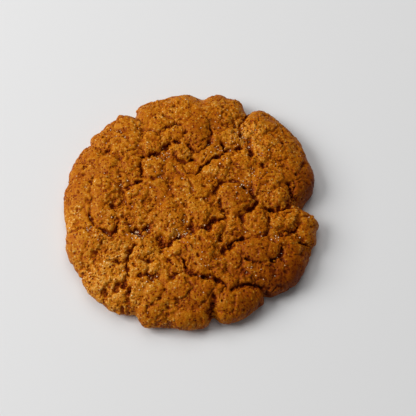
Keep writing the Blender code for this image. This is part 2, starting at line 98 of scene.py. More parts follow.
biscuit = {
    "gridCells": 292,         # faces along each side of the upper grid, a multiple of 4
    "radius": 42.7,
    "crown": 11.2,            # height of the dome
    "widest": 3.4,            # height of the widest line of the wall
    "footRound": 2.4,
    "footPower": 0.9,
    "planPower": 3.6,         # higher is a squarer shoulder
    "risePower": 2.2,
    "wave": (2, 0.9, 40.0),   # slow wave of the outline: order, size, bearing of a peak
    "notchAtFoot": 0.8,
    "notchHeights": (1.0, 4.5),
    "notchShares": (0.72, 0.98),
    "reliefHeights": (0.6, 3.0),
    "wallCalm": 0.25,
    "rimJags": ((3.6, 0.32), (1.7, 0.18)),   # wavelength and size of the crumbly edge
    "jagShares": (0.86, 0.99),
    # bearing, size (+ swelling, - notch), clockwise and anticlockwise half width
    "rim": {
        "bite": (358.4, -7.2, 4.2, 9),
        "northEastFlat": (24, -0.9, 9, 8),
        "northEastCleft": (62.3, -3.4, 3.4, 3.4),
        "northEastPoint": (53.8, 0.4, 2.2, 2.2),
        "northDip": (72.5, -1.1, 3, 3),
        "northScoop": (85, -2.6, 3.6, 4.4),
        "northFlat": (104, -0.5, 4, 3),
        "northWestStep": (120.9, -3, 2.6, 3),
        "northWestPoint": (126.6, 0.8, 1.6, 2.6),
        "northWestNick": (147.4, -1.3, 1.3, 1.3),
        "westDip": (169, -0.7, 4, 4),
        "westFlat": (191, -0.9, 7, 5),
        "southWestDent": (214, -0.8, 2.2, 2.2),
        "southWestLedge": (245, -2, 3, 2.4),
        "southNotch": (280.4, -2.6, 2.1, 1.8),
        "southEastNotch": (306.2, -2.5, 1.5, 2.2),
        "eastNick": (346, -0.7, 2.4, 3),
        "eastSwell": (327, 1.2, 10, 13),
        "northSwell": (73, 0.8, 8, 7),
        "northWestSwell": (112, 0.4, 5, 3.5),
        "northWestCorner": (143, 0.6, 3, 2),
        "westSwell": (160, 1.1, 17, 20),
        "southWestSwell": (223, 1.9, 16, 21.5),
        "southCorner": (250, 0.9, 4, 8),
        "southSwell": (291, 0.7, 6, 6),
        "southFlatSwell": (266, 0.6, 5, 9),
        "southEastSwell": (318.5, 0.8, 4, 5),
    },
    # plates of crust that stand proud: x, y, radius, rise
    "plates": {
        "northEast": (31, 18, 12, 0.5),
        "north": (1.5, 29, 12, 0.4),
        "northWest": (-24, 20, 10, 0.5),
        "west": (-29, 4.5, 7, 0.5),
        "westLobe": (-37.5, -17, 7, 0.6),
        "middle": (0, 2, 12, 0.5),
        "core": (15, -1, 6, 0.6),
        "east": (29, 4, 6, 0.4),
        "southEast": (24, -26, 9, 0.5),
        "south": (1.5, -36, 7, 0.5),
        "southWest": (-14, -34, 8, 0.5),
    },
    # cracks, each an arc in plan: start x and y, first heading, length, turn, half width, depth
    "cracks": {
        "cleftMouth": (21, 37, 240, 12, 0, 0.8, 2.2),
        "cleftValley": (15.5, 27.5, 300, 11, -15, 1.3, 1.6),
        "shelf": (9.5, 19.5, 305, 8, 100, 0.6, 2.4),
        "hook": (-1, 19, 270, 6.5, 145, 0.5, 1.8),
        "hookStem": (4, 17.5, 65, 8.5, 20, 0.5, 1.5),
        "northSlant": (10.5, 16.5, 220, 9, -10, 0.6, 2),
        "northSlantEnd": (3, 11.5, 255, 4, -15, 0.45, 1.5),
        "brow": (-4, 20.5, 170, 7.5, 80, 0.6, 1.7),
        "browEnd": (-10, 17, 210, 7, -25, 0.6, 1.9),
        "eye": (-5, 14, 300, 6, 115, 0.6, 2.1),
        "eyeCorner": (-9, 14, 45, 3, -60, 0.45, 1.2),
        "wingLeft": (-17, 25, 10, 6, -65, 0.5, 1.2),
        "wingRight": (-11.5, 23, 60, 11, -40, 0.45, 1.1),
        "westDrop": (-16.5, 14.5, 265, 8.5, 0, 0.45, 1.4),
        "westHook": (-17, 6, 190, 7, 45, 0.75, 2),
        "westHookEnd": (-23, 2.5, 290, 3, -15, 0.45, 1.3),
        "westSlit": (-23, -1.5, 235, 4, -45, 0.5, 1.8),
        "farWest": (-33, 8, 260, 12, 10, 0.45, 1),
        "farWestBend": (-34, -4, 280, 6, 20, 0.6, 1.5),
        "westBasin": (-29.5, -11, 300, 7, 130, 0.7, 1.7),
        "bowlLeft": (-20.5, -10.5, 270, 5, 100, 0.7, 1.9),
        "bowlRight": (-16.5, -13.5, 70, 5, -55, 0.9, 2),
        "southWestTop": (-18, -17, 220, 6, 45, 0.7, 1.8),
        "southWestRun": (-20.5, -22.5, 270, 9, -15, 0.7, 1.6),
        "southWestFoot": (-20, -32, 270, 9, -10, 0.6, 1.6),
        "southWestSlit": (-17, -21, 305, 5.5, 70, 0.45, 1.4),
        "lowSlit": (-17, -27, 0, 7, -20, 0.6, 1.8),
        "troughHead": (-10.5, -14.5, 340, 4.5, -100, 1, 2.4),
        "trough": (-8.5, -17.5, 40, 6.5, -15, 0.75, 1.9),
        "troughRun": (-3.5, -14.5, 15, 6.5, 25, 1.05, 2),
        "troughSpur": (0.5, -12.5, 130, 4.5, -85, 0.6, 1.8),
        "coreWest": (5, -11.5, 70, 6.5, -65, 0.7, 2),
        "coreSide": (9, -1.5, 270, 6.5, 35, 0.45, 1.3),
        "coreDrop": (11, -8, 270, 7.5, -20, 0.5, 1.5),
        "coreTop": (7.5, 1, 95, 7, -95, 0.5, 1.2),
        "coreBrow": (12, 5.5, 15, 6, -60, 0.45, 1.2),
        "coreEast": (17.5, 4, 330, 7, -50, 0.6, 2),
        "coreSouthEast": (21.5, -1.5, 235, 8, -10, 0.6, 1.8),
        "drain": (16, -14.5, 190, 5.5, 65, 0.75, 2.2),
        "drainEnd": (12.5, -18, 155, 4, 140, 0.7, 1.8),
        "drainEast": (16, -14.5, 355, 8.5, 30, 0.5, 1.3),
        "eastSplit": (24.5, -13, 55, 6, 55, 0.45, 1.3),
        "eastBasin": (28.5, -13, 355, 9, 75, 0.75, 1.9),
        "eastArc": (32.5, 5, 305, 6.5, -70, 0.7, 2.2),
        "eastArcFoot": (32.5, -1.5, 245, 8.5, -85, 0.75, 2.6),
        "eastSlit": (41, -16, 190, 6, -30, 0.45, 1.4),
        "shoulder": (29.5, -18, 275, 6.5, -95, 0.6, 1.6),
        "shoulderRun": (24.5, -22.5, 205, 7.5, -65, 0.45, 1.3),
        "southShelf": (13.5, -32, 30, 7.5, -40, 0.6, 1.8),
        "southShelfEnd": (21, -30.5, 20, 4.5, -50, 0.45, 1.2),
        "southMainHead": (-3, -21.5, 270, 5, 35, 0.6, 2.2),
        "southMain": (-2, -26, 340, 7.5, 5, 0.6, 2.2),
        "southMainBend": (5, -28, 10, 7.5, -85, 0.6, 2),
        "southMainSpur": (-2, -25.5, 185, 4.5, 65, 0.6, 1.4),
        "southCleft": (7.5, -34, 240, 10, 60, 0.8, 1.8),
        "westRim": (-41, -11, 350, 8.5, 40, 0.45, 0.7),
        "southWestRim": (-35, -27, 90, 6, -70, 0.45, 0.9),
        "northWestRim": (-36, 21.5, 330, 7.5, 0, 0.45, 1),
    },
    "crackSteps": 10,
    "crackNarrow": 0.85,      # share of the groove's width that is open
    "crackPower": 4.4,
    "lipSlope": (2.5, 0.3),   # how far the lips slope down, as a width and a share of the depth
    "crackWander": (3.4, 0.65),
    "crackJitter": (0.9, 0.26),
    "crackUneven": (1.4, 0.70),
    "crackBridges": (2.2, 0.45),   # spacing, and the depth left where crumb bridges a split
    # holes in the crust: x, y, radius, depth
    "pits": {
        "northWest": (-29, 17.5, 0.9, 1.8),
        "northWestLow": (-24, 14, 0.8, 1.3),
        "west": (-24, 8, 0.8, 1.4),
        "cleftEnd": (20, 16, 1.1, 2.4),
        "northEast": (23.5, 11, 0.9, 1.6),
        "east": (37.5, 13.5, 0.8, 1.4),
        "eastFoot": (29, -4, 1.1, 1.2),
        "south": (7.5, -34.5, 1, 1.8),
        "southMiddle": (-7.5, -22.5, 0.9, 1.5),
        "southWest": (-23, -30.5, 1, 1.7),
        "southWestLow": (-26.5, -31, 0.9, 1),
        "southWestHigh": (-23.5, -22.5, 0.8, 1.2),
        "lowSlit": (-16, -27, 0.9, 1.4),
        "farSouthWest": (-34, -25, 0.8, 1.2),
        "farWest": (-32.5, -8, 0.7, 1.2),
        "southEast": (17, -26, 0.8, 1.2),
    },
    # small holes: x, y, radius
    "holes": (
        (-30.7, 20.7, 0.6), (-20, 18, 0.5), (-36, 12, 0.7), (-36.2, 9.2, 0.6), (-33.5, 6.8, 0.6),
        (-37.8, -3.7, 0.7), (-39, -3.8, 0.5), (-25.7, -3, 1.1), (-24.3, -7.5, 0.7),
        (-29, -16.2, 0.5), (-28, -18, 0.5), (-31.5, -19.5, 0.9), (-12.5, 6.4, 0.8),
        (-6.7, 4.4, 0.8), (-1.7, 5.6, 0.5), (4.1, 3.7, 0.6), (7.4, 3, 0.6), (7.5, 2, 0.5),
        (3.5, 6.5, 0.6), (-2.2, -3.5, 0.7), (-1.8, -17.7, 0.5), (7.5, -18.5, 0.6), (9, -2.8, 0.6),
        (8.9, -3.8, 0.5), (26.7, -15.4, 0.6), (28.2, -17.8, 0.5), (38.5, -16.5, 0.6),
        (30.5, 20.6, 0.6), (-35.5, -25.7, 1), (-32.7, -29, 0.5), (-28.2, -32.4, 1.1),
        (-24.8, -32, 1.1), (-24, -29, 0.5), (-22, -37.7, 1), (-24.3, -22.7, 0.9),
        (-12.7, -28.5, 1.1), (-8.5, -32.5, 0.6), (-10.2, -35, 0.7), (-7.3, -38, 0.7),
        (17.5, -26.9, 0.8), (37.5, -23, 0.5), (32, -31.8, 0.6), (18.5, -41.5, 0.7),
        (-24.4, 25.4, 0.9), (-23, 25.7, 0.7), (-6.8, 35.3, 0.5), (-12.2, 30.5, 0.6),
        (-2.7, 24.5, 0.9), (-4.5, 27.8, 0.8), (-6.8, 22, 0.7), (-1.2, 19, 0.8), (-7.5, 14.4, 0.6),
        (-21.7, 22.3, 0.6), (-9, 18.3, 1.1), (15.3, 27.6, 0.8), (19.6, 17.6, 0.9), (20, 15.8, 0.7),
        (34.5, 9, 0.6), (36.8, 12.6, 0.7), (33.3, 2.2, 1.2), (28.8, -4.1, 1.1), (8, -8.8, 1.3),
        (6.8, -9, 0.9), (0.4, -9.8, 0.8), (-9.4, -16.8, 1.6), (10.5, -18.2, 1.1), (13.4, -17, 1),
        (-21.8, -13, 0.6), (-20.3, -19.2, 0.9), (-17.8, -12.4, 1.2), (-33.5, -8, 0.9),
        (35, -8.3, 0.7), (31.3, -12.1, 1.1), (25.7, -10.4, 0.6), (29, -21.6, 0.7),
        (24.5, -31.8, 0.7), (7.2, -35.6, 0.9), (8.8, -42.2, 1), (2.6, -21, 0.7),
        (-7.6, -23.1, 0.8),
    ),
    "holeDepth": 1.25,
    # clods of crumb: x, y, radius, rise
    "clods": (
        (-22.5, 28, 4, 0.7), (-23, 21.5, 5, 0.8), (-30, 22, 3.4, 0.6), (-33.5, 16.5, 3.6, 0.6),
        (-27.5, 12, 3.4, 0.6), (-20, 12.5, 3.4, 0.6), (-12.8, 20, 4.6, 0.9), (-6, 35, 5, 0.7),
        (-3.3, 31, 3.2, 0.7), (3.5, 33, 4, 0.5), (9.5, 35, 3.6, 0.7), (7.6, 31, 2.6, 0.5),
        (12, 31, 3, 0.5), (-11.2, 28, 3.8, 0.7), (-7, 25, 3.6, 0.7), (1.2, 25.6, 5.2, 0.9),
        (8, 23.4, 2.8, 0.5), (12.7, 23.2, 3.4, 0.7), (-4, 16.8, 4, 0.7), (-13, 11.5, 4.4, 0.7),
        (-5.5, 10, 3.6, 0.5), (8.2, 11.3, 5, 0.9), (15.5, 33.5, 3.4, 0.6), (23, 28.5, 5.2, 0.8),
        (27.2, 21.2, 3.6, 0.6), (30.5, 17, 3.8, 0.6), (24, 17.2, 3.2, 0.6), (16.8, 13.6, 4, 0.8),
        (33.5, 13, 3.8, 0.6), (25, 6, 5, 0.9), (29, 0.8, 4.2, 0.8), (37.5, 4, 4, 0.6),
        (-38, 3, 3.8, 0.5), (-38.5, -2, 3, 0.4), (-29.8, 3.2, 5, 0.9), (-31.5, -4, 3.2, 0.6),
        (-27.6, -5.6, 3, 0.6), (-18, 2.2, 4.6, 0.9), (-27.5, -11.1, 2.6, 0.7),
        (-22.2, -11.6, 3, 0.7), (-21.5, -7, 3, 0.6), (-17.6, -7, 3, 0.6), (-37.6, -15.5, 5.6, 0.9),
        (-31, -15.4, 3, 0.5), (-25.3, -16, 3, 0.6), (-22.6, -20.4, 2.2, 0.6), (-33, -20, 2.8, 0.5),
        (-15.8, -18.6, 4.4, 0.8), (-0.8, 2, 6.8, 0.9), (-11.2, 2.4, 3.8, 0.6),
        (13.6, -0.6, 5.8, 1), (-8.4, -8, 6, 1), (3.3, -11.6, 2.8, 0.6), (2, -5.4, 4.2, 0.7),
        (7.6, -12.6, 3.5, 0.8), (13, -10.4, 3.2, 0.6), (-2, -18, 4.8, 0.9), (4.6, -16.6, 3.6, 0.6),
        (21.5, -9, 4.8, 0.9), (28.2, -8.6, 3.6, 0.8), (32.2, -8.6, 3.4, 0.8),
        (39, -10.6, 4.6, 0.8), (21, -17.6, 4.8, 0.7), (27.4, -18.4, 4, 0.7), (33.5, -17, 3.6, 0.5),
        (35, -25, 6.5, 0.8), (-29, -24.5, 5, 0.8), (-34, -25, 3.2, 0.5), (-25.2, -26.6, 3.4, 0.8),
        (-31, -29, 3.4, 0.6), (-17.2, -25, 3.8, 0.8), (-12, -24, 3.2, 0.6), (-18, -31.6, 3.8, 0.7),
        (-12.2, -32.4, 3.6, 0.6), (-17.2, -37.2, 3.8, 0.7), (-24.2, -35.8, 4, 0.8),
        (-31.5, -34.5, 3.4, 0.5), (-12, -42, 4.6, 0.7), (-8, -36, 3.4, 0.5), (1.6, -23.2, 5.6, 1),
        (7.8, -25, 3.8, 0.8), (-3.6, -30.6, 4.4, 0.9), (4.6, -33.4, 4.8, 0.8),
        (-1.2, -41.6, 3.8, 0.7), (3.6, -41.2, 3.4, 0.6), (15.4, -38, 7.2, 1),
        (12.6, -29.8, 2.8, 0.7), (17, -29.2, 2.8, 0.7), (18.7, -24.2, 2.4, 0.6),
        (13.6, -22.4, 3, 0.5), (23.8, -27, 3.2, 0.7), (28.5, -29, 4, 0.6), (22.6, -33.6, 2.6, 0.5),
        (23, -21.6, 2.8, 0.5),
    ),
    "clodEdge": 0.37,         # lower is a steeper edge
    "clodRise": 0.98,
    "clodDents": ((3.6, 1.3), (1.3, 0.5)),   # wavelength and size of the dents in their outlines
    "clodGroove": (0.45, 0.5),    # depth and half width of the seam around each clod
    "swells": ((11.0, 0.22), (4.2, 0.12), (1.9, 0.10)),   # wavelength and height of each noise
    # size, crease depth, uneven height and swell of the crags
    "crags": ((7.5, 0.12, 0.12, 0.08), (3.6, 0.10, 0.07, 0.06)),
    "cragWander": (4.4, 0.75),
    "cragJitter": (1.4, 0.17),
    "creaseWidth": 0.7,
    "creasePits": (1.5, 0.50),    # spacing and depth of the holes that string along a crease
    "creaseBreaks": 5.0,      # spacing of the places where a crease fades
    "seamBreaks": 2.6,
    "clodRagged": 1.8,        # how much of the crags' jitter moves the clods, and the crumbs
    "crumbRagged": 0.7,
    # finer relief, that the solid has no faces for
    # size, uneven height, gap, its width, and how far each crumb bulges
    "crumbs": ((2.3, 0.13, 0.23, 0.16, 0.27), (1.25, 0.13, 0.24, 0.24, 0.30)),
    "crumbPatches": 3.6,
    "calm": 0.30,             # how smooth the crust is where no zone says otherwise
    "calmNoise": (9.0, 0.25),
    "calmRange": (-0.6, 0.85),
    "fineOnWall": 0.35,       # how much finer relief the upright wall loses
    "rubble": 0.55,           # how much of a split's floor the crumbs fill
    "grain": (0.75, 0.10),
    "poreHoles": (2.0, 0.28, 0.75),   # spacing, radius share, depth
    "porePatches": 6.0,
    "fullSplit": 1.6,         # depth of a split at which its colour is full
    "hollow": (3, 0.35),      # faces to each side that count as near, and the full depth
    "valley": (9, 0.9),
    "dimples": (3.4, 0.35),   # spacing and depth, on the underside
}

# Where the bake differs: x, y, radius, golden crumb, toasted skin, calm (smooth) surface. Golden
# crumb also lifts the colour as painted light, and toasted skin also dims it as painted shade.
zones = {
    "goldenWest": (-28.5, -22, 12, 0.28, 0, -0.5),
    "goldenSouthWest": (-28.5, -30.5, 8.5, 0.75, 0, -0.2),
    "westEdge": (-41, -7, 5, 0.8, 0.05, 0.1),
    "westLobe": (-38, -17, 6.5, 0.35, 0.3, 0.95),
    "cleftValley": (18, 24, 6, 1, 0, -0.4),
    "northEast": (30, 20, 9, 0.1, 0.1, 0),
    "eastLobe": (39, 6, 6.5, -0.3, 1.25, 0.6),
    "southEastShoulder": (34, -28, 10, -0.2, 1.1, 0.6),
    "southEastPlate": (21.5, -37, 8, -0.1, 0.5, 0.3),
    "southEastMiddle": (21, -22, 11, -0.1, 0.5, 0.15),
    "northWest": (-24, 16.5, 15, 0.12, 0.05, 0.25),
    "north": (-3, 36, 10, 0.4, 0, 0.1),
    "northMiddle": (4, 25, 8, 0, 0.5, 0.1),
    "middle": (-9, 7, 9, -0.15, 0.15, 0.3),
    "centre": (0, -0.5, 6, 0.35, 0, 0),
    "core": (15, -1, 7, -0.2, 0.4, 0.1),
    "southFoot": (-5, -42, 14, 0.2, 0.1, 0.1),
    "southMiddle": (-12, -22, 10, 0.40, 0, 0),
    "south": (3, -31, 13, 0, 0.4, 0),
}


# The square [-1, 1] pressed onto the unit disc: square rings turn into circles, and every face
# keeps its share of the area.
def squareToDisc(count):
    line = np.linspace(-1.0, 1.0, count + 1)
    u, v = np.meshgrid(line, line, indexing="ij")
    wide = np.abs(u) > np.abs(v)
    ring = np.where(wide, u, v)
    safeU = np.where(u == 0.0, 1.0, u)
    safeV = np.where(v == 0.0, 1.0, v)
    turn = np.where(wide, 0.25 * np.pi * v / safeU, 0.5 * np.pi - 0.25 * np.pi * u / safeV)
    return (ring * np.cos(turn)).ravel(), (ring * np.sin(turn)).ravel()


# Radius at each bearing, worked out as a mean plus a slow wave and bell-shaped swellings, and
# beside it the bell-shaped notches that are cut from it.
def outline(bearing):
    order, size, peak = biscuit["wave"]
    radius = biscuit["radius"] + size * np.cos(order * (bearing - math.radians(peak)))
    cut = np.zeros_like(bearing)
    for centre, size, before, after in biscuit["rim"].values():
        off = (np.degrees(bearing) - centre + 180.0) % 360.0 - 180.0
        bump = size * np.exp(-((off / np.where(off < 0.0, before, after)) ** 2))
        if size < 0.0:
            cut += bump
        else:
            radius += bump
    return radius * mm, cut * mm


# Half section from the crown to the foot: a superellipse down to the widest line, then a
# rounded foot. Returned as shares of the radius, heights and running area.
def section():
    over = np.linspace(0.0, 0.5 * np.pi, 400)
    share = np.sin(over) ** (2.0 / biscuit["planPower"])
    rise = biscuit["crown"] - biscuit["widest"]
    height = biscuit["widest"] + rise * np.cos(over) ** (2.0 / biscuit["risePower"])
    under = over[1:]
    foot = biscuit["footRound"] / biscuit["radius"]
    footShare = 1.0 - foot + foot * np.cos(under) ** biscuit["footPower"]
    footHeight = biscuit["widest"] * (1.0 - np.sin(under) ** biscuit["footPower"])
    share = np.concatenate([share, footShare])
    height = np.concatenate([height, footHeight])
    run = np.hypot(np.diff(share) * biscuit["radius"], np.diff(height))
    area = np.concatenate([[0.0], np.cumsum(run * 0.5 * (share[1:] + share[:-1]))])
    return share, height * mm, area / area[-1]


# Points along an arc: the heading turns evenly, and each step is a chord.
def arcPoints(x, y, heading, length, turn):
    count = biscuit["crackSteps"]
    angle = np.radians(heading + turn * (np.arange(count) + 0.5) / count)
    xs = x + np.concatenate([[0.0], np.cumsum(np.cos(angle))]) * length / count
    ys = y + np.concatenate([[0.0], np.cumsum(np.sin(angle))]) * length / count
    return np.stack([xs, ys], axis=1) * mm


# Shortest distance in plan to a path, as the least of the distances to its straight pieces.
def distanceTo(plan, path):
    best = np.full(len(plan), 1.0)
    for start, end in zip(path[:-1], path[1:]):
        leg = end - start
        along = np.clip(((plan - start) @ leg) / (leg @ leg), 0.0, 1.0)
        away = plan - start - along[:, None] * leg
        best = np.minimum(best, np.hypot(away[:, 0], away[:, 1]))
    return best


# Depth of the splits: along every arc a steep-sided groove, depth / (1 + (distance / width) to
# a power), in a wider bell-shaped slope, and a bell-shaped hole at every pit.
def splits(plan, points):
    moved = plan.copy()
    for seed, name in ((11, "crackWander"), (41, "crackJitter")):
        wavelength, size = biscuit[name]
        for axis in range(2):
            moved[:, axis] += noise(points, wavelength * mm, seed + axis) * size * mm
    wavelength, size = biscuit["crackUneven"]
    uneven = np.clip(1.0 + size * 1.4 * noise(points, wavelength * mm, 13), 0.35, 1.8)
    wavelength, left = biscuit["crackBridges"]
    bridge = left + (1.0 - left) * ease(noise(points, wavelength * mm, 15), -0.35, 0.2)
    slopeWidth, slopeShare = biscuit["lipSlope"]
    cut = np.zeros(len(plan))
    slope = np.zeros(len(plan))
    for x, y, heading, length, turn, width, depth in biscuit["cracks"].values():
        reach = (length + 9.0) * mm
        near = np.nonzero(np.hypot(moved[:, 0] - x * mm, moved[:, 1] - y * mm) < reach)[0]
        away = distanceTo(moved[near], arcPoints(x, y, heading, length, turn))
        thin = width * mm * uneven[near] * biscuit["crackNarrow"]
        groove = depth * mm * bridge[near] / (1.0 + (away / thin) ** biscuit["crackPower"])
        cut[near] = np.maximum(cut[near], groove)
        bell = depth * mm * slopeShare * np.exp(-((away / (slopeWidth * mm)) ** 2))
        slope[near] = np.maximum(slope[near], bell)
    for x, y, radius, depth in biscuit["pits"].values():
        away = np.hypot(moved[:, 0] - x * mm, moved[:, 1] - y * mm)
        cut = np.maximum(cut, depth * mm * np.exp(-((away / (radius * mm)) ** 2)))
    return cut, slope


# Sum of bells over the named zones, for one of their values.
def zoneValue(plan, column):
    total = np.zeros(len(plan))
    for zone in zones.values():
        away = np.hypot(plan[:, 0] - zone[0] * mm, plan[:, 1] - zone[1] * mm)
        total += zone[column] * np.exp(-((away / (zone[2] * mm)) ** 2))
    return total


# Clods as domes, rise * (1 - (distance / radius) squared) to a power below 1, the highest one
# counting where they meet, holes as steep bells, and the distance to the line where two clods
# meet or one ends, as the depth inside the nearest clod less that inside the next one.
def clodsAndHoles(plan, points):
    dent = np.zeros(len(plan))
    for seed, (wavelength, size) in enumerate(biscuit["clodDents"]):
        dent += size * noise(points, wavelength * mm, 77 + seed)
    high = np.zeros(len(plan))
    first = np.full(len(plan), -1.0)
    second = np.full(len(plan), -1.0)
    for x, y, radius, rise in biscuit["clods"]:
        away = np.hypot(plan[:, 0] - x * mm, plan[:, 1] - y * mm) / (radius * mm) + dent / radius
        dome = np.clip(1.0 - away ** 2, 0.0, 1.0) ** biscuit["clodEdge"]
        high = np.maximum(high, biscuit["clodRise"] * rise * mm * dome)
        inside = (1.0 - away) * radius * mm
        second = np.maximum(second, np.minimum(first, inside))
        first = np.maximum(first, inside)
    border = np.abs(first - np.maximum(second, 0.0))
    low = np.zeros(len(plan))
    for x, y, radius in biscuit["holes"]:
        away = np.hypot(plan[:, 0] - x * mm, plan[:, 1] - y * mm) / (radius * mm)
        low = np.maximum(low, biscuit["holeDepth"] * mm * radius ** 0.7 * np.exp(-away ** 4))
    return high, low, border


# Points moved by smooth noise along each axis.
def drift(points, setting, seed):
    wavelength, size = setting
    move = np.stack([noise(points, wavelength * mm, seed + axis) for axis in range(3)], axis=1)
    return points + move * size * mm


# Height of the crust over the plain dome: swells, plates and crags less the splits, then the
# crumb's own clods, gaps, grain and pores.
def relief(plan, points, faceOut):
    lift = np.zeros(len(plan))
    for x, y, radius, rise in biscuit["plates"].values():
        away = np.hypot(plan[:, 0] - x * mm, plan[:, 1] - y * mm)
        lift += rise * mm * np.exp(-((away / (radius * mm)) ** 2))
    for seed, (wavelength, size) in enumerate(biscuit["swells"]):
        lift += size * mm * noise(points, wavelength * mm, seed)
    ragged = drift(points, biscuit["cragJitter"], 26) - points
    moved = drift(points, biscuit["cragWander"], 21) + ragged
    creased = np.zeros(len(plan))
    for index, (size, crease, uneven, swell) in enumerate(biscuit["crags"]):
        nearest, border, value = cells(moved, size * mm, 31 + 10 * index)
        opened = ease(border * size, 0.0, biscuit["creaseWidth"])
        broken = ease(noise(points, biscuit["creaseBreaks"] * mm, 56 + index), -0.35, 0.25)
        lift += (uneven * value * opened - crease * broken * (1.0 - opened)) * mm
        spacing, depth = biscuit["creasePits"]
        pits = ease(noise(points, spacing * mm, 86 + index), 0.10, 0.45) * ease(broken, 0.4, 1.0)
        creased = np.maximum(creased, depth * mm * pits * (1.0 - ease(border * size, 0.2, 0.9)))
        lift += swell * (0.3 - np.minimum(nearest, 0.9) ** 2) * mm
    cut, slope = splits(plan, points)
    wander = drift(points, biscuit["crackWander"], 66) - points
    moved = plan + (wander + biscuit["clodRagged"] * ragged)[:, :2]
    high, low, border = clodsAndHoles(moved, points)
    depth, width = biscuit["clodGroove"]
    broken = ease(noise(points, biscuit["seamBreaks"] * mm, 76), -0.25, 0.35)
    low = np.maximum(low, depth * mm * broken * (1.0 - ease(border, 0.0, width * mm)))
    lift += high
    cut = np.maximum(np.maximum(cut, low), creased)
    wavelength, size = biscuit["calmNoise"]
    calm = biscuit["calm"] + zoneValue(plan, 5) + size * noise(points, wavelength * mm, 51)
    calm = np.clip(calm, *biscuit["calmRange"])
    fine = np.zeros(len(plan))
    inside = ease(cut, 0.5 * mm, 1.2 * mm)
    crumbled = points + biscuit["crumbRagged"] * ragged
    for index, (size, uneven, gap, width, bulge) in enumerate(biscuit["crumbs"]):
        nearest, border, value = cells(crumbled, size * mm, 61 + 10 * index)
        opened = ease(border, 0.0, width)
        patchy = ease(noise(points, biscuit["crumbPatches"] * mm, 58 + index), -0.5, 0.3)
        fine += (uneven * value * opened - gap * patchy * (1.0 - opened)) * mm
        fine += bulge * (0.2 - np.minimum(nearest, 0.7) ** 2) * mm
        cut -= biscuit["rubble"] * inside * ease(value, 0.0, 0.6) * ease(border, 0.1, 0.5) * mm
    wavelength, size = biscuit["grain"]
    fine += size * mm * noise(points, wavelength * mm, 53)
    spacing, radius, depth = biscuit["poreHoles"]
    nearest, _, value = cells(points, spacing * mm, 91)
    patchy = noise(points, biscuit["porePatches"] * mm, 54)
    opened = ease(patchy - 0.4 * calm, -0.3, 0.2) * ease(value, -0.3, 0.3)
    pore = opened * (1.0 - ease(nearest, 0.3 * radius, radius))
    fine *= (1.0 - calm) * (1.0 - biscuit["fineOnWall"] * np.abs(faceOut))
    return lift - slope + fine, cut + depth * mm * pore, calm


# Mean of a grid over a square of 2 * reach + 1 cells, done twice for a softer edge.
def blurred(grid, reach):
    for _ in range(2):
        for axis in range(2):
            margin = [(reach + 1, reach) if axis == k else (0, 0) for k in range(2)]
            wide = np.pad(grid, margin, "edge")
            total = np.cumsum(wide, axis=axis)
            count = grid.shape[axis]
            ahead = np.take(total, range(2 * reach + 1, 2 * reach + 1 + count), axis=axis)
            grid = (ahead - np.take(total, range(count), axis=axis)) / (2 * reach + 1)
    return grid


# The whole skin: grid points go to bearings and shares of the section, out to the outline, and
# along the section's own facing by the relief.
def skinPoints():
    x, y = squareToDisc(biscuit["gridCells"])
    bearing = np.arctan2(y, x) % (2.0 * np.pi)
    wanted = np.clip(x * x + y * y, 0.0, 1.0)
    share, height, area = section()
    outward = np.gradient(share * biscuit["radius"] * mm)
    upward = np.gradient(height)
    length = np.hypot(outward, upward)
    faceOut = np.interp(wanted, area, -upward / length)
    faceUp = np.interp(wanted, area, outward / length)
    share = np.interp(wanted, area, share)
    height = np.interp(wanted, area, height)
    radius, cut = outline(bearing)
    low, high = np.array(biscuit["notchHeights"]) * mm
    kept = biscuit["notchAtFoot"]
    deep = kept + (1.0 - kept) * ease(height, low, high)
    local = radius + cut * deep * ease(share, *biscuit["notchShares"])
    around = np.stack([np.cos(bearing), np.sin(bearing)], axis=1)
    plan = around * (share * local)[:, None]
    points = np.column_stack([plan, height])
    for seed, (wavelength, size) in enumerate(biscuit["rimJags"]):
        jag = size * mm * noise(points, wavelength * mm, 96 + seed)
        jag = jag * ease(share, *biscuit["jagShares"])
        plan = plan + around * jag[:, None]
    points[:, :2] = plan
    lift, split, calm = relief(plan, points, faceOut)
    low, high = np.array(biscuit["reliefHeights"]) * mm
    hold = ease(height, low, high) * (1.0 - biscuit["wallCalm"] * np.abs(faceOut))
    amount = (lift - split) * hold
    points[:, :2] += around * (amount * faceOut)[:, None]
    points[:, 2] = np.maximum(points[:, 2] + amount * faceUp, 0.0)
    side = biscuit["gridCells"] + 1
    grid = amount.reshape(side, side)
    (near, shallow), (far, deepest) = biscuit["hollow"], biscuit["valley"]
    # Hollow and valley say how far a point lies below the mean height around it; the crust's
    # colour paints shade by them.
    values = {
        "split": np.clip(split * hold / (biscuit["fullSplit"] * mm), 0.0, 1.0),
        "hollow": (blurred(grid, near) - grid).ravel() / (shallow * mm),
        "valley": (blurred(grid, far) - grid).ravel() / (deepest * mm),
        "golden": zoneValue(plan, 3),
        "toasted": zoneValue(plan, 4),
        "calm": calm,
    }
    return points, values


